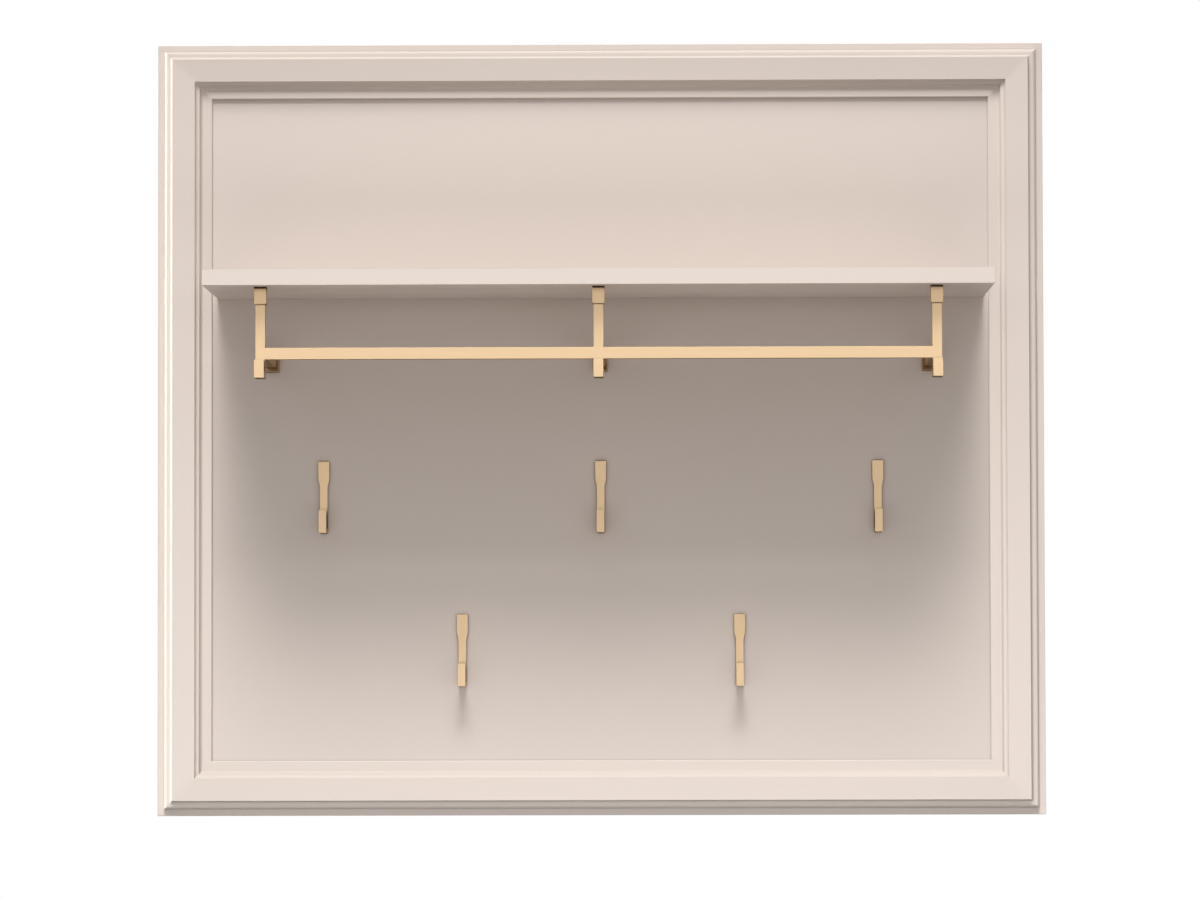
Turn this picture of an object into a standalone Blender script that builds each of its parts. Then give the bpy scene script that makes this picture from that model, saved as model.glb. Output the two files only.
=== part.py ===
"""Wall coat rack: a painted panel with a mitred frame, a shelf, a gold rail on three brackets and five hooks.

Sizes are in metres. +Z is up, the front faces -Y, and the panel's back lies in the wall plane y = 0.
The origin is the centre of the panel's back face.
"""

import math

import bmesh
import bpy

# Fits
SEAT = 0.0003
SLIP = 0.0003
RUNOUT = 0.001
METAL_EASE = 0.0005
BOARD_EASE = 0.0008
EASE_ANGLE = math.radians(50)
SMOOTH_ANGLE = math.radians(35)

# Back panel
BOARD_WIDTH = 1.100
BOARD_HEIGHT = 0.958
BOARD_THICK = 0.018

# Frame moulding: widths from its outer edge inwards, rises from the panel's face outwards
FRAME_INSET = 0.0083
OUTER_ROUND_WIDTH = 0.0044
OUTER_LEDGE_WIDTH = 0.0026
OUTER_COVE_WIDTH = 0.0036
FLAT_WIDTH = 0.0277
UPPER_COVE_WIDTH = 0.0044
INNER_LEDGE_WIDTH = 0.0014
LOWER_COVE_WIDTH = 0.0036
FILLET_WIDTH = 0.0104
TOE_WIDTH = 0.0016
OUTER_LIP_RISE = 0.0013
TOE_RISE = 0.004
LOWER_COVE_RISE = 0.006
UPPER_COVE_RISE = 0.005
OUTER_ROUND_RISE = 0.0075
CURVE_STEPS = 5

# Shelf
SHELF_DEPTH = 0.240
SHELF_THICK = 0.0194
SHELF_END_GAP = 0.006
SHELF_HEADROOM = 0.2292

# Rail and brackets: the posts stand this far back from the shelf's front
BRACKET_SETBACK = 0.0685
POST_SIZE = 0.012
POST_SETBACK = 0.0273
RAIL_HEIGHT = 0.014
RAIL_DEPTH = 0.012
RAIL_DROP = 0.0808
TENON_SIZE = 0.007
TENON_LENGTH = 0.004
SOCKET_WALL = 0.0012
SOCKET_HEIGHT = 0.0213
SOCKET_POCKET = 0.012
SOCKET_CHAMFER = 0.0006
SOCKET_CHAMFER_HEIGHT = 0.001
TIP_BELOW_RAIL = 0.0013
TIP_HEIGHT = 0.022
TIP_AHEAD = 0.0225
TIP_THICK = 0.007
FOOT_HEIGHT = 0.008
WALL_SOCKET_CHEEK = 0.0022
WALL_SOCKET_CAP = 0.0047
WALL_SOCKET_DEPTH = 0.020
WALL_SOCKET_POCKET = 0.010
ARM_SIZE = 0.012

# Coat hooks: heights run down from the top of the plate
HOOK_SETBACK = 0.1385
HOOK_UPPER_DROP = 0.1220
HOOK_LOWER_CLEAR = 0.0914
HOOK_HEIGHT = 0.0893
HOOK_PROJECTION = 0.036
HOOK_THICK = 0.006
HOOK_FOOT_HEIGHT = 0.006
HOOK_TIP_THICK = 0.006
HOOK_TIP_HEIGHT = 0.0285
HOOK_PLATE_WIDTH = 0.0138
HOOK_STEM_WIDTH = 0.0097
HOOK_PLATE_STRAIGHT = 0.0243
HOOK_TAPER_LENGTH = 0.0088
HOOK_TAPER_STEPS = 6
HOOK_SCREW_TOP = 0.012
HOOK_SCREW_SPACING = 0.040
HOOK_SKIN = 0.0015

# Fasteners
FASTENER_SIDES = 12
HEAD_CROWN = 0.0008
KEY_DEPTH = 0.0014
END_CHAMFER = 0.001
POINT_LENGTH = 0.008
POINT_RADIUS = 0.0005
HOOK_SCREW = 0.004
HOOK_SCREW_HEAD = 0.0076
HOOK_SCREW_HEAD_HEIGHT = 0.0026
HOOK_SCREW_KEY = 0.0025
ARM_SCREW = 0.006
ARM_SCREW_HEAD = 0.0105
ARM_SCREW_HEAD_HEIGHT = 0.0035
ARM_SCREW_GRIP = 0.016
ARM_SCREW_KEY = 0.004
HEAD_SINK = 0.0015
STUD = 0.006
STUD_IN_SHELF = 0.012
STUD_IN_POST = 0.009
SHELF_SCREW = 0.005
SHELF_SCREW_HEAD = 0.0096
SHELF_SCREW_GRIP = 0.042
SHELF_SCREW_SETBACK = 0.056
SHELF_SCREWS_EACH_SIDE = 2
SHELF_SCREW_KEY = 0.003

# Keyhole hangers: the setback puts them over wall studs 812.8 mm apart
HANGER_SETBACK = 0.1436
HANGER_BELOW_TOP = 0.119
HANGER_WIDTH = 0.024
HANGER_END = 0.019
HANGER_THICK = 0.0025
HANGER_POCKET_DEPTH = 0.011
HANGER_ENTRY = 0.011
HANGER_SLOT = 0.0056
HANGER_SLOT_LENGTH = 0.013
HANGER_HEAD_ROOM = 0.002
HANGER_SCREW = 0.0035
HANGER_SCREW_HEAD = 0.0064
HANGER_SCREW_MARGIN = 0.008
HANGER_SCREW_GRIP = 0.011
HANGER_SCREW_KEY = 0.0022
ARC_STEPS = 8

# Sizes that follow from those above
FRAME_THICK = TOE_RISE + LOWER_COVE_RISE + UPPER_COVE_RISE
OUTER_WIDTH = OUTER_ROUND_WIDTH + OUTER_LEDGE_WIDTH + OUTER_COVE_WIDTH
INNER_WIDTH = UPPER_COVE_WIDTH + INNER_LEDGE_WIDTH + LOWER_COVE_WIDTH + FILLET_WIDTH + TOE_WIDTH
FRAME_WIDTH = OUTER_WIDTH + FLAT_WIDTH + INNER_WIDTH
FIELD_HALF_WIDTH = BOARD_WIDTH / 2 - FRAME_INSET - FRAME_WIDTH
FIELD_HALF_HEIGHT = BOARD_HEIGHT / 2 - FRAME_INSET - FRAME_WIDTH
SHELF_WIDTH = 2 * (FIELD_HALF_WIDTH - SHELF_END_GAP)
SHELF_UNDERSIDE = FIELD_HALF_HEIGHT - SHELF_HEADROOM - SHELF_THICK
POST_AHEAD = SEAT + SHELF_DEPTH - POST_SETBACK
SHELF_SCREW_PITCH = (SHELF_WIDTH / 2 - SHELF_SCREW_SETBACK) / SHELF_SCREWS_EACH_SIDE
BRACKET_PITCH = SHELF_WIDTH / 2 - BRACKET_SETBACK
RAIL_CENTRE = SHELF_UNDERSIDE - RAIL_DROP
TIP_TOP = RAIL_CENTRE - RAIL_HEIGHT / 2 - TIP_BELOW_RAIL
FOOT_BOTTOM = TIP_TOP - TIP_HEIGHT
SOCKET_SIZE = POST_SIZE + 2 * (SLIP + SOCKET_WALL)
SOCKET_TOP = SHELF_UNDERSIDE - SEAT
POST_TOP = SOCKET_TOP - SOCKET_HEIGHT + SOCKET_POCKET - SEAT
WALL_SOCKET_WIDTH = ARM_SIZE + 2 * (SLIP + WALL_SOCKET_CHEEK)
WALL_SOCKET_HEIGHT = ARM_SIZE + 2 * (SLIP + WALL_SOCKET_CAP)
HOOK_PITCH = FIELD_HALF_WIDTH - HOOK_SETBACK
HOOK_UPPER_TOP = RAIL_CENTRE - HOOK_UPPER_DROP
HOOK_LOWER_TOP = HOOK_HEIGHT + HOOK_LOWER_CLEAR - FIELD_HALF_HEIGHT
HANGER_X = BOARD_WIDTH / 2 - HANGER_SETBACK
HANGER_Z = BOARD_HEIGHT / 2 - HANGER_BELOW_TOP
HANGER_HEAD_WIDTH = HANGER_ENTRY + 2 * HANGER_HEAD_ROOM
HANGER_LENGTH = HANGER_HEAD_WIDTH + HANGER_SLOT_LENGTH + 2 * HANGER_END


def front(ahead):
    """The y of a point this far in front of the panel's face."""
    return -(BOARD_THICK + ahead)


POST_Y = front(POST_AHEAD - POST_SIZE / 2)
ARM_BACK = front(SEAT + WALL_SOCKET_DEPTH - WALL_SOCKET_POCKET + SEAT)
FROM_BEHIND = (-math.pi / 2, 0, 0)
UPWARDS = (math.pi, 0, 0)
SIDES = {"left": -1, "centre": 0, "right": 1}


# Tools


def clear_scene():
    for obj in list(bpy.data.objects):
        bpy.data.objects.remove(obj, do_unlink=True)


def material(name, colour, roughness, metallic):
    made = bpy.data.materials.new(name)
    made.use_nodes = True
    shader = made.node_tree.nodes["Principled BSDF"]
    shader.inputs["Base Color"].default_value = (*colour, 1)
    shader.inputs["Roughness"].default_value = roughness
    shader.inputs["Metallic"].default_value = metallic
    return made


def loft(name, loops):
    """A closed mesh through loops of equally many points, with a face over each end."""
    shape = bmesh.new()
    rows = [[shape.verts.new(point) for point in loop] for loop in loops]
    for row, following in zip(rows, rows[1:]):
        for i in range(len(row)):
            shape.faces.new((row[i - 1], row[i], following[i], following[i - 1]))
    shape.faces.new(rows[0])
    shape.faces.new(rows[-1])
    bmesh.ops.recalc_face_normals(shape, faces=shape.faces)
    mesh = bpy.data.meshes.new(name)
    shape.to_mesh(mesh)
    shape.free()
    return mesh


def rectangle(axis, place, centre, size):
    """Four corners of a rectangle square to 'x', 'y' or 'z'; centre and size run along the other two."""
    corners = []
    for a, b in ((-1, -1), (1, -1), (1, 1), (-1, 1)):
        corner = [centre[0] + a * size[0] / 2, centre[1] + b * size[1] / 2]
        corner.insert("xyz".index(axis), place)
        corners.append(corner)
    return corners


def box(name, low, high):
    centre = [(low[i] + high[i]) / 2 for i in (0, 1)]
    size = [high[i] - low[i] for i in (0, 1)]
    return loft(name, [rectangle("z", z, centre, size) for z in (low[2], high[2])])


def ring(radius, height, corners=0):
    """Points round the local z axis, on a circle or on a polygon whose corners lie on that circle."""
    points = []
    for k in range(FASTENER_SIDES):
        angle = 2 * math.pi * k / FASTENER_SIDES
        reach = radius
        if corners:
            half = math.pi / corners
            reach = radius * math.cos(half) / math.cos(angle % (2 * half) - half)
        points.append((reach * math.cos(angle), reach * math.sin(angle), height))
    return points


def turned(name, rings):
    mesh = loft(name, [ring(*values) for values in rings])
    mesh.shade_smooth()
    mesh.set_sharp_from_angle(angle=SMOOTH_ANGLE)
    return mesh


def quarter(start, end, bulge):
    """Points from start to end on a quarter ellipse that leaves start along `bulge`, 'width' or 'rise'."""
    points = []
    for k in range(1, CURVE_STEPS + 1):
        turn = math.pi / 2 * k / CURVE_STEPS
        along = math.sin(turn)
        across = 1 - math.cos(turn)
        shares = (along, across) if bulge == "width" else (across, along)
        points.append(tuple(start[i] + (end[i] - start[i]) * shares[i] for i in (0, 1)))
    return points


def bent_bar(name, sections):
    """A flat bar through sections of (half width, inner point, outer point); points are (y, z)."""
    loops = []
    for half, inner, outer in sections:
        loops.append([(-half, *inner), (half, *inner), (half, *outer), (-half, *outer)])
    return loft(name, loops)


def place(name, mesh, finish, location=(0, 0, 0), rotation=(0, 0, 0), ease=0.0):
    obj = bpy.data.objects.new(name, mesh)
    bpy.context.scene.collection.objects.link(obj)
    obj.parent = bpy.data.objects["coat_rack"]
    obj.location = location
    obj.rotation_euler = rotation
    if not mesh.materials:
        mesh.materials.append(finish)
    if ease:
        bevel = obj.modifiers.new("eased edges", "BEVEL")
        bevel.width = ease
        bevel.segments = 2
        bevel.limit_method = "ANGLE"
        bevel.angle_limit = EASE_ANGLE
    return obj


def cut(target, mesh, location=(0, 0, 0), rotation=(0, 0, 0)):
    """Takes a shape out of a piece; one Boolean takes all the shapes of that piece."""
    title = target.name + "_cuts"
    group = bpy.data.collections.get(title)
    if group is None:
        group = bpy.data.collections.new(title)
        bpy.context.scene.collection.children.link(group)
        boolean = target.modifiers.new("cuts", "BOOLEAN")
        boolean.operation = "DIFFERENCE"
        boolean.solver = "EXACT"
        boolean.operand_type = "COLLECTION"
        boolean.collection = group
    cutter = bpy.data.objects.new(f"{title}_{len(group.objects)}", mesh)
    cutter.location = location
    cutter.rotation_euler = rotation
    cutter.hide_render = True
    cutter.display_type = "WIRE"
    group.objects.link(cutter)


# Fasteners: local z points to the head, which lies at z >= 0 on a flat seat or at z <= 0 in a countersink


def machine_screw(name, width, head, head_height, length, key):
    key_radius = key / 2 / math.cos(math.pi / 6)
    return turned(name, [
        (width / 2 - END_CHAMFER, -length),
        (width / 2, -length + END_CHAMFER),
        (width / 2, 0),
        (head / 2, 0),
        (head / 2, head_height - HEAD_CROWN),
        (head / 2 - HEAD_CROWN, head_height),
        (key_radius, head_height, 6),
        (key_radius, head_height - KEY_DEPTH, 6),
    ])


def wood_screw(name, width, head, length, key):
    cone = (head - width) / 2
    key_radius = key / 2 / math.cos(math.pi / 4)
    return turned(name, [
        (POINT_RADIUS, -length),
        (width / 2, -length + POINT_LENGTH),
        (width / 2, -cone),
        (head / 2, 0),
        (key_radius, 0, 4),
        (key_radius, -KEY_DEPTH, 4),
    ])


def counterbored_hole(name, width, head, sink, thick):
    """From the board's back face at local z = 0 through a board this thick."""
    return turned(name, [
        (width / 2 + SLIP, -thick - RUNOUT),
        (width / 2 + SLIP, -sink),
        (head / 2 + SLIP, -sink),
        (head / 2 + SLIP, RUNOUT),
    ])


def countersunk_hole(name, width, head, depth):
    """From a face at local z = 0 this deep, with the cone of a countersunk head that sits SEAT below it."""
    cone = (head - width) / 2
    return turned(name, [
        (width / 2 + SLIP, -depth),
        (width / 2 + SLIP, -cone - SEAT),
        (head / 2 + SLIP, -SEAT),
        (head / 2 + SLIP, RUNOUT),
    ])


def plain_hole(name, width, depth):
    return turned(name, [(width / 2 + SLIP, -depth), (width / 2 + SLIP, RUNOUT)])


# Panel, frame and shelf


def make_panel(finish):
    low = (-BOARD_WIDTH / 2, -BOARD_THICK, -BOARD_HEIGHT / 2)
    high = (BOARD_WIDTH / 2, 0, BOARD_HEIGHT / 2)
    return place("back_panel", box("back_panel", low, high), finish, ease=BOARD_EASE)


def moulding_profile():
    """The moulding's outline as (distance in from its outer edge, rise above the panel's face)."""
    top = FRAME_THICK
    flat_start = OUTER_WIDTH
    flat_end = OUTER_WIDTH + FLAT_WIDTH
    upper_end = flat_end + UPPER_COVE_WIDTH
    lower_start = upper_end + INNER_LEDGE_WIDTH
    lower_end = lower_start + LOWER_COVE_WIDTH
    fillet_end = lower_end + FILLET_WIDTH
    fillet = TOE_RISE
    ledge = TOE_RISE + LOWER_COVE_RISE
    outer_ledge_end = OUTER_ROUND_WIDTH + OUTER_LEDGE_WIDTH
    points = [(0, SEAT), (0, OUTER_LIP_RISE)]
    points += quarter(points[-1], (OUTER_ROUND_WIDTH, OUTER_ROUND_RISE), "rise")
    points.append((outer_ledge_end, OUTER_ROUND_RISE))
    points += quarter(points[-1], (flat_start, top), "width")
    points.append((flat_end, top))
    points += quarter(points[-1], (upper_end, ledge), "rise")
    points.append((lower_start, ledge))
    points += quarter(points[-1], (lower_end, fillet), "rise")
    points.append((fillet_end, fillet))
    points += quarter(points[-1], (FRAME_WIDTH, SEAT), "width")
    return points


def make_frame(finish):
    """Four mitred lengths; `along` and `across` turn the profile to each side of the panel."""
    half_wide = BOARD_WIDTH / 2 - FRAME_INSET
    half_high = BOARD_HEIGHT / 2 - FRAME_INSET
    lengths = {
        "frame_top_rail": ((1, 0), (0, 1), half_wide, half_high),
        "frame_bottom_rail": ((1, 0), (0, -1), half_wide, half_high),
        "frame_left_stile": ((0, 1), (-1, 0), half_high, half_wide),
        "frame_right_stile": ((0, 1), (1, 0), half_high, half_wide),
    }
    for name, (along, across, half_length, half_span) in lengths.items():
        loops = []
        for end in (-1, 1):
            loop = []
            for inward, rise in moulding_profile():
                reach = end * (half_length - inward - SEAT)
                out = half_span - inward
                x = along[0] * reach + across[0] * out
                z = along[1] * reach + across[1] * out
                loop.append((x, front(rise), z))
            loops.append(loop)
        place(name, loft(name, loops), finish)


def make_shelf(finish):
    low = (-SHELF_WIDTH / 2, front(SEAT + SHELF_DEPTH), SHELF_UNDERSIDE)
    high = (SHELF_WIDTH / 2, front(SEAT), SHELF_UNDERSIDE + SHELF_THICK)
    return place("shelf", box("shelf", low, high), finish, ease=BOARD_EASE)


def fix_shelf(panel, shelf, finish):
    length = BOARD_THICK + SHELF_SCREW_GRIP
    screw = wood_screw("shelf_screw", SHELF_SCREW, SHELF_SCREW_HEAD, length, SHELF_SCREW_KEY)
    through = countersunk_hole("shelf_screw_hole", SHELF_SCREW, SHELF_SCREW_HEAD, BOARD_THICK + RUNOUT)
    pilot = plain_hole("shelf_screw_pilot", SHELF_SCREW, SHELF_SCREW_GRIP + RUNOUT)
    z = SHELF_UNDERSIDE + SHELF_THICK / 2
    for number, k in enumerate(range(-SHELF_SCREWS_EACH_SIDE, SHELF_SCREWS_EACH_SIDE + 1), start=1):
        x = k * SHELF_SCREW_PITCH
        place(f"shelf_screw_{number}", screw, finish, (x, -SEAT, z), FROM_BEHIND)
        cut(panel, through, (x, 0, z), FROM_BEHIND)
        cut(shelf, pilot, (x, front(SEAT), z), FROM_BEHIND)


# Rail and brackets


def make_rail(finish):
    """Two bar lengths with a square tenon at each end, which sits in the side of a post."""
    centre = (front(POST_AHEAD - RAIL_DEPTH / 2), RAIL_CENTRE)
    inner = POST_SIZE / 2 + SEAT
    outer = BRACKET_PITCH - inner
    sections = (
        (inner - TENON_LENGTH, TENON_SIZE, TENON_SIZE),
        (inner, TENON_SIZE, TENON_SIZE),
        (inner, RAIL_DEPTH, RAIL_HEIGHT),
        (outer, RAIL_DEPTH, RAIL_HEIGHT),
        (outer, TENON_SIZE, TENON_SIZE),
        (outer + TENON_LENGTH, TENON_SIZE, TENON_SIZE),
    )
    for side in ("left", "right"):
        name = f"rail_bar_{side}"
        loops = [rectangle("x", SIDES[side] * x, centre, size) for x, *size in sections]
        place(name, loft(name, loops), finish, ease=METAL_EASE)


def post_mesh():
    """Upright, foot and upturned tip in one bend of square bar."""
    half = POST_SIZE / 2
    face = front(POST_AHEAD)
    back = front(POST_AHEAD - POST_SIZE)
    tip_face = front(POST_AHEAD + TIP_AHEAD)
    tip_back = front(POST_AHEAD + TIP_AHEAD - TIP_THICK)
    foot_top = FOOT_BOTTOM + FOOT_HEIGHT
    return bent_bar("bracket_post", [
        (half, (face, POST_TOP), (back, POST_TOP)),
        (half, (face, foot_top), (back, FOOT_BOTTOM)),
        (half, (tip_back, foot_top), (tip_face, FOOT_BOTTOM)),
        (half, (tip_back, TIP_TOP), (tip_face, TIP_TOP)),
    ])


def socket_mesh():
    """Square ferrule with a chamfered mouth."""
    low = SOCKET_TOP - SOCKET_HEIGHT
    sizes = (
        (low, SOCKET_SIZE - 2 * SOCKET_CHAMFER),
        (low + SOCKET_CHAMFER_HEIGHT, SOCKET_SIZE),
        (SOCKET_TOP, SOCKET_SIZE),
    )
    return loft("shelf_socket", [rectangle("z", z, (0, POST_Y), (size, size)) for z, size in sizes])


def wall_socket_mesh():
    half = WALL_SOCKET_WIDTH / 2
    low = (-half, front(SEAT + WALL_SOCKET_DEPTH), RAIL_CENTRE - WALL_SOCKET_HEIGHT / 2)
    high = (half, front(SEAT), RAIL_CENTRE + WALL_SOCKET_HEIGHT / 2)
    return box("wall_socket", low, high)


def square_pocket(name, axis, start, end, centre, size):
    return loft(name, [rectangle(axis, place, centre, (size, size)) for place in (start, end)])


def make_brackets(panel, shelf, gold, zinc):
    post = post_mesh()
    socket = socket_mesh()
    wall_socket = wall_socket_mesh()
    arm_front = front(POST_AHEAD - POST_SIZE - SEAT)
    arm_size = (ARM_SIZE, ARM_SIZE)
    arm = loft("bracket_arm", [rectangle("y", y, (0, RAIL_CENTRE), arm_size) for y in (ARM_BACK, arm_front)])

    socket_low = SOCKET_TOP - SOCKET_HEIGHT
    post_pocket = square_pocket("post_pocket", "z", socket_low - RUNOUT, socket_low + SOCKET_POCKET,
                                (0, POST_Y), POST_SIZE + 2 * SLIP)
    socket_face = front(SEAT + WALL_SOCKET_DEPTH)
    arm_pocket = square_pocket("arm_pocket", "y", socket_face - RUNOUT, socket_face + WALL_SOCKET_POCKET,
                               (0, RAIL_CENTRE), ARM_SIZE + 2 * SLIP)
    tenon_centre = (front(POST_AHEAD - RAIL_DEPTH / 2), RAIL_CENTRE)
    tenon_pockets = {}
    for hand in (-1, 1):
        tenon_pockets[hand] = square_pocket(
            "tenon_pocket", "x", hand * (POST_SIZE / 2 - TENON_LENGTH), hand * (POST_SIZE / 2 + RUNOUT),
            tenon_centre, TENON_SIZE + 2 * SLIP)

    stud_length = STUD_IN_SHELF + SHELF_UNDERSIDE - POST_TOP + STUD_IN_POST
    stud = turned("shelf_stud", [
        (STUD / 2 - END_CHAMFER, -stud_length),
        (STUD / 2, -stud_length + END_CHAMFER),
        (STUD / 2, -END_CHAMFER),
        (STUD / 2 - END_CHAMFER, 0),
    ])
    sink = ARM_SCREW_HEAD_HEIGHT + HEAD_SINK
    bearing = -sink + SEAT
    screw = machine_screw("arm_screw", ARM_SCREW, ARM_SCREW_HEAD, ARM_SCREW_HEAD_HEIGHT,
                          bearing - ARM_BACK + ARM_SCREW_GRIP, ARM_SCREW_KEY)
    panel_hole = counterbored_hole("arm_screw_hole", ARM_SCREW, ARM_SCREW_HEAD, sink, BOARD_THICK)
    arm_hole = plain_hole("arm_tapping", ARM_SCREW, ARM_SCREW_GRIP + SEAT)
    wall_socket_hole = plain_hole("wall_socket_hole", ARM_SCREW, WALL_SOCKET_DEPTH)
    post_hole = plain_hole("post_tapping", STUD, STUD_IN_POST + SEAT)
    socket_hole = plain_hole("socket_hole", STUD, SOCKET_HEIGHT)
    shelf_hole = plain_hole("shelf_tapping", STUD, STUD_IN_SHELF + SEAT)

    for side, sign in SIDES.items():
        x = sign * BRACKET_PITCH
        at_bracket = (x, 0, 0)
        post_piece = place(f"bracket_post_{side}", post, gold, at_bracket, ease=METAL_EASE)
        cut(post_piece, post_hole, (x, POST_Y, POST_TOP))
        for hand in (-1, 1):
            if abs(sign + hand) <= 1:
                cut(post_piece, tenon_pockets[hand], at_bracket)
        socket_piece = place(f"shelf_socket_{side}", socket, gold, at_bracket, ease=METAL_EASE)
        cut(socket_piece, post_pocket, at_bracket)
        cut(socket_piece, socket_hole, (x, POST_Y, SOCKET_TOP))
        wall_piece = place(f"wall_socket_{side}", wall_socket, gold, at_bracket, ease=METAL_EASE)
        cut(wall_piece, arm_pocket, at_bracket)
        cut(wall_piece, wall_socket_hole, (x, front(SEAT), RAIL_CENTRE), FROM_BEHIND)
        arm_piece = place(f"bracket_arm_{side}", arm, gold, at_bracket, ease=METAL_EASE)
        cut(arm_piece, arm_hole, (x, ARM_BACK, RAIL_CENTRE), FROM_BEHIND)
        place(f"shelf_stud_{side}", stud, zinc, (x, POST_Y, SHELF_UNDERSIDE + STUD_IN_SHELF))
        cut(shelf, shelf_hole, (x, POST_Y, SHELF_UNDERSIDE), UPWARDS)
        place(f"arm_screw_{side}", screw, zinc, (x, bearing, RAIL_CENTRE), FROM_BEHIND)
        cut(panel, panel_hole, (x, 0, RAIL_CENTRE), FROM_BEHIND)


# Coat hooks


def hook_mesh():
    """Plate, waisted stem, foot and upturned tip; local origin at the plate's top on the panel's face."""
    back = -SEAT
    face = -(SEAT + HOOK_THICK)
    tip_face = -HOOK_PROJECTION
    tip_back = -(HOOK_PROJECTION - HOOK_TIP_THICK)
    foot_top = -HOOK_HEIGHT + HOOK_FOOT_HEIGHT
    tip_top = -HOOK_HEIGHT + HOOK_TIP_HEIGHT
    plate = HOOK_PLATE_WIDTH / 2
    stem = HOOK_STEM_WIDTH / 2
    sections = [(plate, (face, 0), (back, 0))]
    for k in range(HOOK_TAPER_STEPS + 1):
        share = k / HOOK_TAPER_STEPS
        z = -(HOOK_PLATE_STRAIGHT + share * HOOK_TAPER_LENGTH)
        sections.append((stem + (plate - stem) * (1 - share) ** 2, (face, z), (back, z)))
    sections += [
        (stem, (face, foot_top), (back, -HOOK_HEIGHT)),
        (stem, (tip_back, foot_top), (tip_face, -HOOK_HEIGHT)),
        (stem, (tip_back, tip_top), (tip_face, tip_top)),
    ]
    return bent_bar("hook", sections)


def make_hooks(panel, gold, zinc):
    mesh = hook_mesh()
    sink = HOOK_SCREW_HEAD_HEIGHT + HEAD_SINK
    bearing = -sink + SEAT
    tapping_depth = HOOK_THICK - HOOK_SKIN
    screw = machine_screw("hook_screw", HOOK_SCREW, HOOK_SCREW_HEAD, HOOK_SCREW_HEAD_HEIGHT,
                          bearing - front(tapping_depth), HOOK_SCREW_KEY)
    panel_hole = counterbored_hole("hook_screw_hole", HOOK_SCREW, HOOK_SCREW_HEAD, sink, BOARD_THICK)
    tapping = plain_hole("hook_tapping", HOOK_SCREW, tapping_depth)
    spots = {
        "upper_left": (-HOOK_PITCH, HOOK_UPPER_TOP),
        "upper_centre": (0, HOOK_UPPER_TOP),
        "upper_right": (HOOK_PITCH, HOOK_UPPER_TOP),
        "lower_left": (-HOOK_PITCH / 2, HOOK_LOWER_TOP),
        "lower_right": (HOOK_PITCH / 2, HOOK_LOWER_TOP),
    }
    for spot, (x, top) in spots.items():
        hook = place(f"hook_{spot}", mesh, gold, (x, front(0), top), ease=METAL_EASE)
        for level, drop in (("top", HOOK_SCREW_TOP), ("low", HOOK_SCREW_TOP + HOOK_SCREW_SPACING)):
            place(f"hook_screw_{spot}_{level}", screw, zinc, (x, bearing, top - drop), FROM_BEHIND)
            cut(hook, tapping, (x, front(SEAT), top - drop), FROM_BEHIND)
            cut(panel, panel_hole, (x, 0, top - drop), FROM_BEHIND)


# Keyhole hangers


def arc(centre_z, radius, start, end):
    """Points (x, z) on an arc about (0, centre_z), from one angle to another."""
    points = []
    for k in range(ARC_STEPS + 1):
        angle = start + (end - start) * k / ARC_STEPS
        points.append((radius * math.cos(angle), centre_z + radius * math.sin(angle)))
    return points


def slot_outline(width, length):
    """An upright slot with round ends, centred on the origin."""
    offset = (length - width) / 2
    return arc(offset, width / 2, 0, math.pi) + arc(-offset, width / 2, math.pi, 2 * math.pi)


def keyhole_outline():
    """A round entry with a narrower slot above it."""
    centre = -HANGER_SLOT_LENGTH / 2
    mouth = math.asin(HANGER_SLOT / HANGER_ENTRY)
    entry = arc(centre, HANGER_ENTRY / 2, math.pi / 2 + mouth, 5 * math.pi / 2 - mouth)
    return entry + arc(-centre, HANGER_SLOT / 2, 0, math.pi)


def plate_mesh(name, outline, back, face):
    return loft(name, [[(x, y, z) for x, z in outline] for y in (back, face)])


def make_hangers(panel, zinc):
    recess = HANGER_THICK + 2 * SEAT
    plate_outline = slot_outline(HANGER_WIDTH, HANGER_LENGTH)
    plate = plate_mesh("keyhole_hanger", plate_outline, -SEAT, -SEAT - HANGER_THICK)
    keyhole = plate_mesh("keyhole", keyhole_outline(), RUNOUT, -recess - RUNOUT)
    bed_outline = slot_outline(HANGER_WIDTH + 2 * SLIP, HANGER_LENGTH + 2 * SLIP)
    bed = plate_mesh("hanger_bed", bed_outline, RUNOUT, -recess)
    pocket_outline = slot_outline(HANGER_HEAD_WIDTH, HANGER_HEAD_WIDTH + HANGER_SLOT_LENGTH)
    pocket = plate_mesh("hanger_pocket", pocket_outline, RUNOUT, -HANGER_POCKET_DEPTH)
    plate_hole = countersunk_hole("hanger_hole", HANGER_SCREW, HANGER_SCREW_HEAD, HANGER_THICK + RUNOUT)
    pilot = plain_hole("hanger_pilot", HANGER_SCREW, HANGER_SCREW_GRIP + SEAT)
    screw = wood_screw("hanger_screw", HANGER_SCREW, HANGER_SCREW_HEAD, HANGER_THICK + HANGER_SCREW_GRIP,
                       HANGER_SCREW_KEY)
    for side in ("left", "right"):
        x = SIDES[side] * HANGER_X
        spot = (x, 0, HANGER_Z)
        hanger = place(f"keyhole_hanger_{side}", plate, zinc, spot)
        cut(hanger, keyhole, spot)
        cut(panel, bed, spot)
        cut(panel, pocket, spot)
        for level, step in (("top", 1), ("low", -1)):
            z = HANGER_Z + step * (HANGER_LENGTH / 2 - HANGER_SCREW_MARGIN)
            place(f"hanger_screw_{side}_{level}", screw, zinc, (x, -2 * SEAT, z), FROM_BEHIND)
            cut(hanger, plate_hole, (x, -SEAT, z), FROM_BEHIND)
            cut(panel, pilot, (x, -recess, z), FROM_BEHIND)


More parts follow.
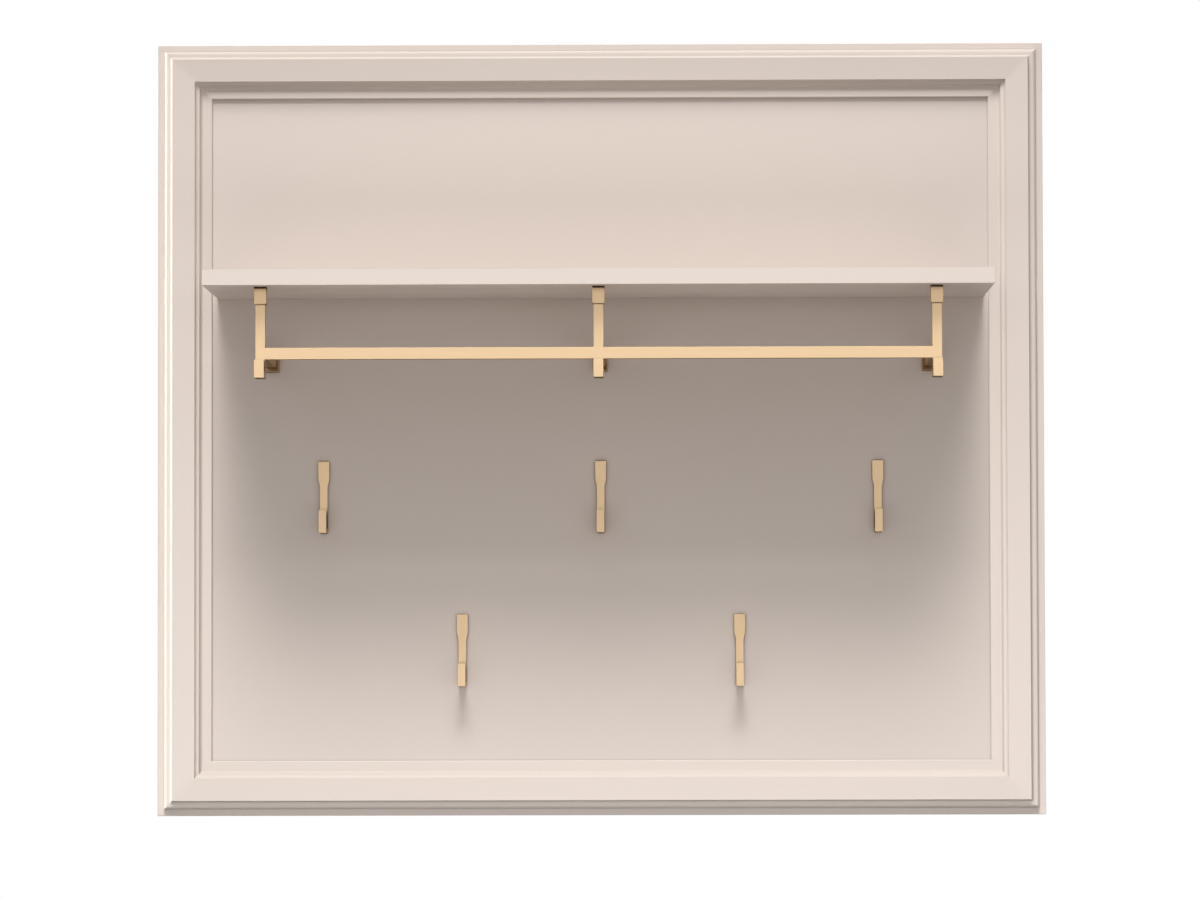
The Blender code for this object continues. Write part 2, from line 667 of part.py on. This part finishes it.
def main():
    clear_scene()
    rack = bpy.data.objects.new("coat_rack", None)
    bpy.context.scene.collection.objects.link(rack)
    paint = material("satin_paint", (0.69, 0.61, 0.54), 0.45, 0)
    gold = material("champagne_gold", (0.80, 0.58, 0.35), 0.32, 1)
    zinc = material("zinc_plate", (0.60, 0.61, 0.62), 0.35, 1)
    panel = make_panel(paint)
    make_frame(paint)
    shelf = make_shelf(paint)
    fix_shelf(panel, shelf, zinc)
    make_rail(gold)
    make_brackets(panel, shelf, gold, zinc)
    make_hooks(panel, gold, zinc)
    make_hangers(panel, zinc)


main()
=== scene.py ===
"""Looks of the wall coat rack: finishes, floor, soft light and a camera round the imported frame.

Sizes are in metres. +Z is up, the front faces -Y, and the panel's back lies in the wall plane y = 0.
"""

import math

import bmesh
import bpy
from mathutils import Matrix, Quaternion, Vector


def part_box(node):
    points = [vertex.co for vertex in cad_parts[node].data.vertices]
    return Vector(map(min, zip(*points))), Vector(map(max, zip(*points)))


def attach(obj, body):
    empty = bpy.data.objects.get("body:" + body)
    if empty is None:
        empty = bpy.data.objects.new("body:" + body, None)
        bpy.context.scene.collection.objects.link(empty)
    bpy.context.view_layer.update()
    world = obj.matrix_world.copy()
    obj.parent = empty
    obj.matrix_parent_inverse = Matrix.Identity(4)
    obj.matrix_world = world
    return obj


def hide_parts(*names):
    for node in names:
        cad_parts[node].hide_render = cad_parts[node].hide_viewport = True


# Camera, placed from the centre of the panel's front face
CAMERA_AHEAD = 6.88
CAMERA_ASIDE = 0.074
CAMERA_BELOW = 0.318
AIM_ASIDE = -0.0008
AIM_BELOW = 0.0266
CAMERA_LENS = 166.45
CAMERA_ROLL = math.radians(-0.13)
CAMERA_REACH = 100

# Light: levels are shares of the light that shows a colour as it is written
KEY_LEVEL = 1.125
KEY_RISE = math.radians(62)
KEY_TURNS = (math.radians(-11), 0, math.radians(11))
KEY_SPREAD = math.radians(21)
SHELF_LEVEL = 0.625
SHELF_RISE = math.radians(16)
SHELF_SPREAD = math.radians(20)
UNDER_LEVEL = 0.022
UNDER_RISE = math.radians(-75)
UNDER_SPREAD = math.radians(20)
GOLD_KEY_LEVEL = 0.86
GOLD_LEVEL = 0.42
GOLD_RISE = math.radians(12)
GOLD_SPREAD = math.radians(15)
FILL_LEVEL = 0.25
FILL_AHEAD = 1.3
FILL_BELOW = 0.45
FILL_SIZE = (2.2, 0.3)
LOW_LEVEL = 0.18
LOW_AHEAD = 0.6
LOW_BELOW = 0.75
LOW_SIZE = (1.8, 0.2)
BACK_LEVEL = 0.5
BACK_BEHIND = 3.0
BACK_ABOVE = 1.2
BACK_SIZE = (2.4, 2.4)
SKY_LEVEL = 0.46
SKY_EDGE = (-0.1, 0.1)
WHITE = (1, 1, 1, 1)

# Suns for the frame's parts: the node and the level, then rise and turn in degrees
FRAME_SUNS = {
    "top": ("frame_top_rail", 0.784, 53, 0),
    "bottom": ("frame_bottom_rail", 0.685, 50, 0),
    "below": ("frame_bottom_rail", 0.06, -35, 0),
    "left": ("frame_left_stile", 1.09, 60, 20),
    "right": ("frame_right_stile", 1.16, 60, 20),
    "side": ("frame_left_stile", 0.80, 6, 90),
}
FRAME_SPREAD = math.radians(20)
GLOSSY_SUN = "side"

# Frame parts that bounce no light, because the photo shows next to none in their steps
DULL_NODES = ("frame_bottom_rail", "frame_right_stile")

# Floor
FLOOR_DROP = 0.82
FLOOR_RADIUS = 9.0
FLOOR_SIDES = 96
FLOOR_COLOUR = (0.86, 0.85, 0.84)
FLOOR_ROUGHNESS = 0.9
FLOOR_FADE = (1.2, 3.2)

# Textures: the range that noise mostly keeps to, and the rays that look for corners and bends
NOISE_RANGE = (0.3, 0.7)
CORNER_RAYS = 16
BEND_RAYS = 64

# Paint
PAINT = (0.765, 0.668, 0.603)
PAINT_SHIFT = 0.993
PATCH_SCALE = 5
PATCH_DETAIL = 2
PAINT_ROUGHNESS = (0.42, 0.50)
PAINT_ROUGHNESS_SCALE = 38
PAINT_ROUGHNESS_DETAIL = 3
PEEL_SCALE = 620
PEEL_DETAIL = 1
PEEL_DEPTH = 0.00004

# Painted shade in the creases where other pieces meet the panel, left out along the shelf
JOINT_PAINTED_SHADE = 0.78
JOINT_SHADE_REACH = 0.003
JOINT_SHADE_OPEN = (0.55, 0.85)
UNSHADED_MARGIN = 0.006

# Raw board in the panel's bores
FIBREBOARD = (0.42, 0.29, 0.18)
FIBRE_SHIFT = 0.7
FIBRE_SCALE = (500, 2500, 500)
FIBRE_DETAIL = 4
PAINT_WRAP = 0.0012

# Gold
GOLD = (0.88, 0.635, 0.39)
GOLD_SHIFT = 0.94
GOLD_METAL = 0.25
GOLD_EDGE_TINT = (0.30, 0.20, 0.12)
GOLD_ROUGHNESS = (0.05, 0.09)
GRAIN_ALONG = 14
GRAIN_ACROSS = 1500
GRAIN_DETAIL = 3
GRAIN_DEPTH = 0.000006

# Painted shade in the gold's corners, and painted shade and dark reflection inside bends, whose gaps are
# given
GOLD_PAINTED_SHADE = (0.10, 0.05, 0.022)
GOLD_SHADE_REACH = 0.0045
GOLD_SHADE_OPEN = (0.79, 0.88)
# Painted shade that darkens the arms and wall sockets under the shelf
WALL_PAINTED_SHADE = (0.56, 0.37, 0.21)
WALL_SHADE_REACH = 0.06
POST_BEND = 0.0155
HOOK_BEND = 0.0237
BEND_SHADE_REACH = 1.04
BEND_SHADE_OPEN = (0.94, 0.985)

# Zinc plate on the fasteners and hangers
ZINC = (0.56, 0.58, 0.60)
ZINC_SHIFT = 0.82
ZINC_ROUGHNESS = (0.28, 0.45)
ZINC_SCALE = 260
ZINC_DETAIL = 4

# Finished pieces
MERGE = 0.000001
SEAT = 0.0003
METAL_EASE = 0.0005
EASE_STEPS = 3
EASE_PROFILE = 0.5
HOOK_NODES = ("hook_upper", "hook_lower")
GOLD_NODES = ("rail_bar", "bracket_", "shelf_socket", "wall_socket", *HOOK_NODES)
WALL_GOLD_NODES = ("bracket_arm", "wall_socket")
SMOOTH_ANGLE = math.radians(38)

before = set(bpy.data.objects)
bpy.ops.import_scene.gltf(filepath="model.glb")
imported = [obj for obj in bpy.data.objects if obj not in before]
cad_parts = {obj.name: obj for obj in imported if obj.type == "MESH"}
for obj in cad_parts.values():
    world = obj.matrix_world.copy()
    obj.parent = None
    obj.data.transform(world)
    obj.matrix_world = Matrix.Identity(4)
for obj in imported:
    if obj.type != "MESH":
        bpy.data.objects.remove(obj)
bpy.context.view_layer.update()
panel_low, panel_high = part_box("back_panel")
PANEL_FACE = panel_low.y


# Shader nodes


def add_node(tree, kind, **settings):
    node = tree.nodes.new(kind)
    for key, value in settings.items():
        setattr(node, key, value)
    return node


def combine(tree, operation, *values, kind="ShaderNodeMath"):
    """The first result of a maths node; each value is a constant or a node's output."""
    node = add_node(tree, kind, operation=operation)
    for socket, value in zip(node.inputs, values):
        if isinstance(value, bpy.types.NodeSocket):
            tree.links.new(value, socket)
        else:
            socket.default_value = value
    return node.outputs[0]


def split_axes(tree, vector):
    axes = add_node(tree, "ShaderNodeSeparateXYZ")
    tree.links.new(vector, axes.inputs["Vector"])
    return axes.outputs


def stretch(tree, value, limits, low=0, high=1, **settings):
    """Maps the first limit to low and the second to high, and keeps within them."""
    ranged = add_node(tree, "ShaderNodeMapRange", **settings)
    ranged.inputs["From Min"].default_value = limits[0]
    ranged.inputs["From Max"].default_value = limits[1]
    ranged.inputs["To Min"].default_value = low
    ranged.inputs["To Max"].default_value = high
    tree.links.new(value, ranged.inputs["Value"])
    return ranged.outputs["Result"]


def object_place(tree, scale=(1, 1, 1)):
    """Coordinates in metres, stretched by a scale along each axis."""
    coordinates = add_node(tree, "ShaderNodeTexCoord")
    mapping = add_node(tree, "ShaderNodeMapping")
    mapping.inputs["Scale"].default_value = scale
    tree.links.new(coordinates.outputs["Object"], mapping.inputs["Vector"])
    return mapping.outputs["Vector"]


def noise(tree, vector, detail, scale=1):
    texture = add_node(tree, "ShaderNodeTexNoise")
    texture.inputs["Scale"].default_value = scale
    texture.inputs["Detail"].default_value = detail
    tree.links.new(vector, texture.inputs["Vector"])
    return texture.outputs["Fac"]


def spread(tree, value, low=0, high=1):
    """Stretches noise from low to high."""
    return stretch(tree, value, NOISE_RANGE, low, high)


def openness(tree, reach, limits, own=False):
    """0 in tight corners, where painted shade goes, and 1 on open faces.

    With own set, only the piece itself makes corners.
    """
    rays = BEND_RAYS if own else CORNER_RAYS
    corner = add_node(tree, "ShaderNodeAmbientOcclusion", only_local=own, samples=rays)
    corner.inputs["Distance"].default_value = reach
    return stretch(tree, corner.outputs["AO"], limits)


def blend_colours(tree, factor, first, second):
    """Mixes two colours, each a colour value or a node's output."""
    mix = add_node(tree, "ShaderNodeMix", data_type="RGBA")
    tree.links.new(factor, mix.inputs["Factor"])
    for name, colour in (("A", first), ("B", second)):
        socket = [s for s in mix.inputs if s.name == name and s.type == "RGBA"][0]
        if isinstance(colour, tuple):
            socket.default_value = (*colour, 1)
        else:
            tree.links.new(colour, socket)
    return [s for s in mix.outputs if s.type == "RGBA"][0]


def shade(colour, share):
    return tuple(channel * share for channel in colour)


def raise_surface(tree, shader, height, depth):
    bump = add_node(tree, "ShaderNodeBump")
    bump.inputs["Distance"].default_value = depth
    tree.links.new(height, bump.inputs["Height"])
    tree.links.new(bump.outputs["Normal"], shader.inputs["Normal"])


def mix_shaders(tree, factor, first, second):
    """The first shader where the factor is 0 and the second where it is 1."""
    mix = add_node(tree, "ShaderNodeMixShader")
    tree.links.new(factor, mix.inputs["Fac"])
    tree.links.new(first, mix.inputs[1])
    tree.links.new(second, mix.inputs[2])
    return mix.outputs["Shader"]


def seen_directly(tree):
    """1 for camera, glossy and transmission rays, which see the white background."""
    path = add_node(tree, "ShaderNodeLightPath")
    either = combine(tree, "MAXIMUM", path.outputs["Is Camera Ray"], path.outputs["Is Glossy Ray"])
    return combine(tree, "MAXIMUM", either, path.outputs["Is Transmission Ray"])


# Materials


def new_material(name):
    made = bpy.data.materials.new(name)
    made.use_nodes = True
    return made, made.node_tree, made.node_tree.nodes["Principled BSDF"]


def paint_material(name="satin_paint"):
    made, tree, shader = new_material(name)
    place = object_place(tree)
    patches = spread(tree, noise(tree, place, PATCH_DETAIL, PATCH_SCALE))
    colour = blend_colours(tree, patches, shade(PAINT, PAINT_SHIFT), PAINT)
    tree.links.new(colour, shader.inputs["Base Color"])
    uneven = noise(tree, place, PAINT_ROUGHNESS_DETAIL, PAINT_ROUGHNESS_SCALE)
    tree.links.new(spread(tree, uneven, *PAINT_ROUGHNESS), shader.inputs["Roughness"])
    raise_surface(tree, shader, noise(tree, place, PEEL_DETAIL, PEEL_SCALE), PEEL_DEPTH)
    return made


def board_material():
    """The panel's paint, with painted shade in the creases along its joints, and raw fibreboard in its
    bores.

    The bores are cut after painting. The painted shade is left out along the shelf.
    """
    made = paint_material("painted_board")
    tree = made.node_tree
    shader = tree.nodes["Principled BSDF"]
    clean = shader.inputs["Base Color"].links[0].from_socket
    # Painted shade: the paint darkens in the creases where other pieces meet the panel
    joint_unshaded = combine(tree, "MAXIMUM", openness(tree, JOINT_SHADE_REACH, JOINT_SHADE_OPEN), beside_shelf(tree))
    shaded_paint = blend_colours(tree, joint_unshaded, shade(PAINT, JOINT_PAINTED_SHADE), clean)
    fibres = spread(tree, noise(tree, object_place(tree, FIBRE_SCALE), FIBRE_DETAIL))
    raw = blend_colours(tree, fibres, shade(FIBREBOARD, FIBRE_SHIFT), FIBREBOARD)
    tree.links.new(blend_colours(tree, inside_board(tree), shaded_paint, raw), shader.inputs["Base Color"])
    return made


def beside_shelf(tree):
    """1 on the panel along the shelf, where no painted shade goes, and 0 elsewhere."""
    low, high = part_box("shelf")
    height = split_axes(tree, object_place(tree))["Z"]
    middle = (low.z + high.z) / 2
    return combine(tree, "COMPARE", height, middle, high.z - middle + UNSHADED_MARGIN)


def inside_board(tree):
    """1 on faces cut into the panel, 0 on its outer faces."""
    half = (panel_high - panel_low) / 2
    middle = (panel_high + panel_low) / 2
    away = combine(tree, "SUBTRACT", object_place(tree), middle, kind="ShaderNodeVectorMath")
    distance = combine(tree, "ABSOLUTE", away, kind="ShaderNodeVectorMath")
    depth = split_axes(tree, combine(tree, "SUBTRACT", half, distance, kind="ShaderNodeVectorMath"))
    least = combine(tree, "MINIMUM", depth["X"], depth["Y"])
    least = combine(tree, "MINIMUM", least, depth["Z"])
    return combine(tree, "GREATER_THAN", least, PAINT_WRAP)


def gold_material(name, axis, painted_shade=GOLD_PAINTED_SHADE, reach=GOLD_SHADE_REACH, bend=None):
    """Satin gold with a fine grain along one axis, 'x', 'y' or 'z'.

    Painted shade reaches out of corners and, where a bend's gap is given, painted shade and reflection lie
    in its bend.
    """
    made, tree, shader = new_material(name)
    scale = [GRAIN_ALONG if letter == axis else GRAIN_ACROSS for letter in "xyz"]
    grain = noise(tree, object_place(tree, scale), GRAIN_DETAIL)
    bright = blend_colours(tree, spread(tree, grain), shade(GOLD, GOLD_SHIFT), GOLD)
    # Painted shade: the gold darkens in its corners, where shade falls
    colour = blend_colours(tree, openness(tree, reach, GOLD_SHADE_OPEN), painted_shade, bright)
    # Painted shade and dark reflection inside the piece's own bend, where a gap is given
    if bend:
        bend_unshaded = openness(tree, bend * BEND_SHADE_REACH, BEND_SHADE_OPEN, own=True)
        colour = blend_colours(tree, bend_unshaded, painted_shade, colour)
    tree.links.new(colour, shader.inputs["Base Color"])
    tree.links.new(spread(tree, grain, *GOLD_ROUGHNESS), shader.inputs["Roughness"])
    shader.inputs["Metallic"].default_value = GOLD_METAL
    shader.inputs["Specular IOR Level"].default_value = 0
    shader.inputs["Specular Tint"].default_value = (*GOLD_EDGE_TINT, 1)
    raise_surface(tree, shader, grain, GRAIN_DEPTH)
    return made


def zinc_material():
    made, tree, shader = new_material("zinc_plate")
    flecks = noise(tree, object_place(tree), ZINC_DETAIL, ZINC_SCALE)
    colour = blend_colours(tree, spread(tree, flecks), shade(ZINC, ZINC_SHIFT), ZINC)
    tree.links.new(colour, shader.inputs["Base Color"])
    tree.links.new(spread(tree, flecks, *ZINC_ROUGHNESS), shader.inputs["Roughness"])
    shader.inputs["Metallic"].default_value = 1
    return made


def floor_material():
    """Pale near the rack, white far from it and see-through from below."""
    made, tree, shader = new_material("floor")
    shader.inputs["Base Color"].default_value = (*FLOOR_COLOUR, 1)
    shader.inputs["Roughness"].default_value = FLOOR_ROUGHNESS
    away = add_node(tree, "ShaderNodeVectorMath", operation="LENGTH")
    tree.links.new(object_place(tree), away.inputs[0])
    far = stretch(tree, away.outputs["Value"], FLOOR_FADE, interpolation_type="SMOOTHSTEP")
    seen = combine(tree, "MULTIPLY", far, seen_directly(tree))
    white = add_node(tree, "ShaderNodeEmission")
    upper = mix_shaders(tree, seen, shader.outputs["BSDF"], white.outputs["Emission"])
    side = add_node(tree, "ShaderNodeNewGeometry")
    clear = add_node(tree, "ShaderNodeBsdfTransparent")
    one_sided = mix_shaders(tree, side.outputs["Backfacing"], upper, clear.outputs["BSDF"])
    tree.links.new(one_sided, tree.nodes["Material Output"].inputs["Surface"])
    return made


# Finished pieces


def node_shape(node):
    """A node's solid as an editable copy, with its split corners merged."""
    shape = bmesh.new()
    shape.from_mesh(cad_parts[node].data)
    bmesh.ops.remove_doubles(shape, verts=shape.verts, dist=MERGE)
    return shape


def moulding_shape(node):
    """A moulding length with its mitres and outer joint filled and painted; its inner joint stays open."""
    shape = node_shape(node)
    along, across = (2, 0) if node.endswith("stile") else (0, 2)
    outer = max(abs(vert.co[across]) for vert in shape.verts)
    for vert in shape.verts:
        vert.co[along] += math.copysign(SEAT, vert.co[along])
        if abs(vert.co[across]) > outer - MERGE and vert.co.y > PANEL_FACE - SEAT - MERGE:
            vert.co.y = PANEL_FACE
    return shape


def eased_block(low, high, axis=None):
    """A block with eased edges: all of them, or only those that run along an axis, 0 to 2."""
    shape = bmesh.new()
    bmesh.ops.create_cube(shape, size=1)
    for vert in shape.verts:
        vert.co = [low[k] if vert.co[k] < 0 else high[k] for k in range(3)]
    edges = list(shape.edges)
    if axis is not None:
        edges = [e for e in edges if abs(e.verts[0].co[axis] - e.verts[1].co[axis]) > METAL_EASE]
    bmesh.ops.bevel(
        shape,
        geom=edges,
        offset=METAL_EASE,
        segments=EASE_STEPS,
        profile=EASE_PROFILE,
        affect="EDGES",
        clamp_overlap=True,
    )
    return shape


def bar_shape(node):
    """A rail length that runs flush into the posts, as the polished joint does."""
    left, right = ("left", "centre") if node.endswith("left") else ("centre", "right")
    _, left_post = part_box("bracket_post_" + left)
    right_post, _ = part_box("bracket_post_" + right)
    low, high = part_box(node)
    low.x = left_post.x - METAL_EASE
    high.x = right_post.x + METAL_EASE
    return eased_block(low, high, 0)


def wall_socket_shape(node):
    """A wall socket closed round its arm, as the brazed one is."""
    return eased_block(*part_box(node))


def finished(node, material):
    """Makes a smooth-shaded piece that stands for a node."""
    if node.startswith("frame_"):
        shape = moulding_shape(node)
    elif node.startswith("rail_bar"):
        shape = bar_shape(node)
    elif node.startswith("wall_socket"):
        shape = wall_socket_shape(node)
    else:
        shape = node_shape(node)
    mesh = bpy.data.meshes.new(node + "_finished")
    shape.to_mesh(mesh)
    shape.free()
    mesh.shade_smooth()
    mesh.set_sharp_from_angle(angle=SMOOTH_ANGLE)
    mesh.materials.clear()
    mesh.materials.append(material)
    piece = bpy.data.objects.new(node + "_finished", mesh)
    piece.visible_diffuse = node not in DULL_NODES
    bpy.context.scene.collection.objects.link(piece)
    weighted = piece.modifiers.new("flat faces", "WEIGHTED_NORMAL")
    weighted.keep_sharp = True
    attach(piece, "root")
    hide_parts(node)


def finish_nodes():
    paint = paint_material()
    board = board_material()
    bar_gold = gold_material("satin_gold_bar", "x")
    post_gold = gold_material("satin_gold_post", "z", bend=POST_BEND)
    hook_gold = gold_material("satin_gold_hook", "z", bend=HOOK_BEND)
    # Painted shade darkens the arms and wall sockets under the shelf
    wall_gold = gold_material("satin_gold_wall", "y", WALL_PAINTED_SHADE, WALL_SHADE_REACH)
    zinc = zinc_material()
    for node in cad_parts:
        if node == "back_panel":
            finished(node, board)
        elif node == "shelf" or node.startswith("frame_"):
            finished(node, paint)
        elif node.startswith(WALL_GOLD_NODES):
            finished(node, wall_gold)
        elif node.startswith("rail_bar"):
            finished(node, bar_gold)
        elif node.startswith(HOOK_NODES):
            finished(node, hook_gold)
        elif node.startswith(GOLD_NODES):
            finished(node, post_gold)
        else:
            finished(node, zinc)


# Floor, light and camera


def make_floor():
    shape = bmesh.new()
    bmesh.ops.create_circle(shape, cap_ends=True, segments=FLOOR_SIDES, radius=FLOOR_RADIUS)
    mesh = bpy.data.meshes.new("floor")
    shape.to_mesh(mesh)
    shape.free()
    mesh.materials.append(floor_material())
    floor = bpy.data.objects.new("floor", mesh)
    floor.location.z = panel_low.z - FLOOR_DROP
    floor.visible_diffuse = False
    bpy.context.scene.collection.objects.link(floor)


def make_world():
    """Soft light from the upper half, and a white background where it is seen directly."""
    world = bpy.data.worlds.new("studio")
    bpy.context.scene.world = world
    world.use_nodes = True
    tree = world.node_tree
    tree.nodes.clear()
    direction = add_node(tree, "ShaderNodeTexCoord")
    height = split_axes(tree, direction.outputs["Generated"])["Z"]
    sky = stretch(tree, height, SKY_EDGE, high=SKY_LEVEL, interpolation_type="SMOOTHSTEP")
    ambient = add_node(tree, "ShaderNodeBackground")
    ambient.inputs["Color"].default_value = WHITE
    tree.links.new(sky, ambient.inputs["Strength"])
    white = add_node(tree, "ShaderNodeBackground")
    white.inputs["Color"].default_value = WHITE
    both = mix_shaders(tree, seen_directly(tree), ambient.outputs["Background"], white.outputs["Background"])
    output = add_node(tree, "ShaderNodeOutputWorld")
    tree.links.new(both, output.inputs["Surface"])


def add_lamp(name, kind, towards):
    """A lamp that shines along a direction and shows neither to the camera nor in gloss."""
    lamp = bpy.data.lights.new(name, kind)
    holder = bpy.data.objects.new(name, lamp)
    holder.rotation_mode = "QUATERNION"
    holder.rotation_quaternion = Vector(towards).to_track_quat("-Z", "Y")
    holder.visible_camera = False
    holder.visible_glossy = False
    bpy.context.scene.collection.objects.link(holder)
    return lamp, holder


def add_sun(name, level, spread_angle, rise, turn):
    """Light from far off, from a height above the horizon and a turn to the left of straight ahead."""
    towards = (math.cos(rise) * math.sin(turn), math.cos(rise) * math.cos(turn), -math.sin(rise))
    lamp, holder = add_lamp(name, "SUN", towards)
    lamp.energy = level * math.pi
    lamp.angle = spread_angle
    return holder


def add_panel_lamp(name, level, place, size):
    """A soft box that shines at the panel's centre and gives it this level there."""
    place = Vector(place)
    towards = Vector((0, PANEL_FACE, 0)) - place
    lamp, holder = add_lamp(name, "AREA", towards)
    holder.location = place
    lamp.shape = "RECTANGLE"
    lamp.size, lamp.size_y = size
    lamp.energy = level * math.pi ** 2 * towards.length_squared
    return holder


def linked_pieces(title, nodes, state):
    """A collection of the pieces of these nodes that lamps are linked to."""
    group = bpy.data.collections.new(title)
    for node in nodes:
        group.objects.link(bpy.data.objects[node + "_finished"])
    for member in group.collection_objects:
        member.light_linking.link_state = state
    return group


def light_only(holder, nodes):
    holder.light_linking.receiver_collection = linked_pieces(holder.name + "_lit", nodes, "INCLUDE")


def leave_out(holder, nodes):
    holder.light_linking.receiver_collection = linked_pieces(holder.name + "_unlit", nodes, "EXCLUDE")


def shadow_only(holder, nodes):
    """Lets only the pieces of these nodes throw this lamp's shadows."""
    holder.light_linking.blocker_collection = linked_pieces(holder.name + "_shadows", nodes, "INCLUDE")


def make_lights():
    moulding = [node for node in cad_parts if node.startswith("frame_")]
    gold = [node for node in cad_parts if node.startswith(GOLD_NODES)]
    for number, turn in enumerate(KEY_TURNS, 1):
        key = add_sun(f"key_light_{number}", KEY_LEVEL / len(KEY_TURNS), KEY_SPREAD, KEY_RISE, turn)
        leave_out(key, moulding + gold + ["shelf"])
    light_only(add_sun("shelf_light", SHELF_LEVEL, SHELF_SPREAD, SHELF_RISE, 0), ["shelf"])
    under = add_sun("under_light", UNDER_LEVEL, UNDER_SPREAD, UNDER_RISE, 0)
    light_only(under, ["shelf"])
    shadow_only(under, ["shelf"])
    for part, (node, level, rise, turn) in FRAME_SUNS.items():
        sun = add_sun(part + "_light", level, FRAME_SPREAD, math.radians(rise), math.radians(turn))
        sun.visible_glossy = part == GLOSSY_SUN
        light_only(sun, [node])
        shadow_only(sun, moulding)
    light_only(add_sun("gold_key", GOLD_KEY_LEVEL, KEY_SPREAD, KEY_RISE, 0), gold)
    shown = [node for node in gold if not node.startswith(WALL_GOLD_NODES)]
    light_only(add_sun("gold_light", GOLD_LEVEL, GOLD_SPREAD, GOLD_RISE, 0), shown)
    fill = add_panel_lamp("fill_light", FILL_LEVEL, (0, PANEL_FACE - FILL_AHEAD, -FILL_BELOW), FILL_SIZE)
    low = add_panel_lamp("low_light", LOW_LEVEL, (0, PANEL_FACE - LOW_AHEAD, -LOW_BELOW), LOW_SIZE)
    for soft_box in (fill, low):
        leave_out(soft_box, gold)
    add_panel_lamp("back_light", BACK_LEVEL, (0, BACK_BEHIND, BACK_ABOVE), BACK_SIZE)


def make_camera():
    place = Vector((CAMERA_ASIDE, PANEL_FACE - CAMERA_AHEAD, -CAMERA_BELOW))
    aim = Vector((AIM_ASIDE, PANEL_FACE, -AIM_BELOW))
    data = bpy.data.cameras.new("camera")
    data.lens = CAMERA_LENS
    data.clip_end = CAMERA_REACH
    camera = bpy.data.objects.new("camera", data)
    camera.location = place
    camera.rotation_mode = "QUATERNION"
    level = (aim - place).to_track_quat("-Z", "Y")
    camera.rotation_quaternion = level @ Quaternion((0, 0, 1), CAMERA_ROLL)
    bpy.context.scene.collection.objects.link(camera)
    bpy.context.scene.camera = camera


finish_nodes()
make_floor()
make_world()
make_lights()
make_camera()
bpy.context.scene.view_settings.view_transform = "Standard"
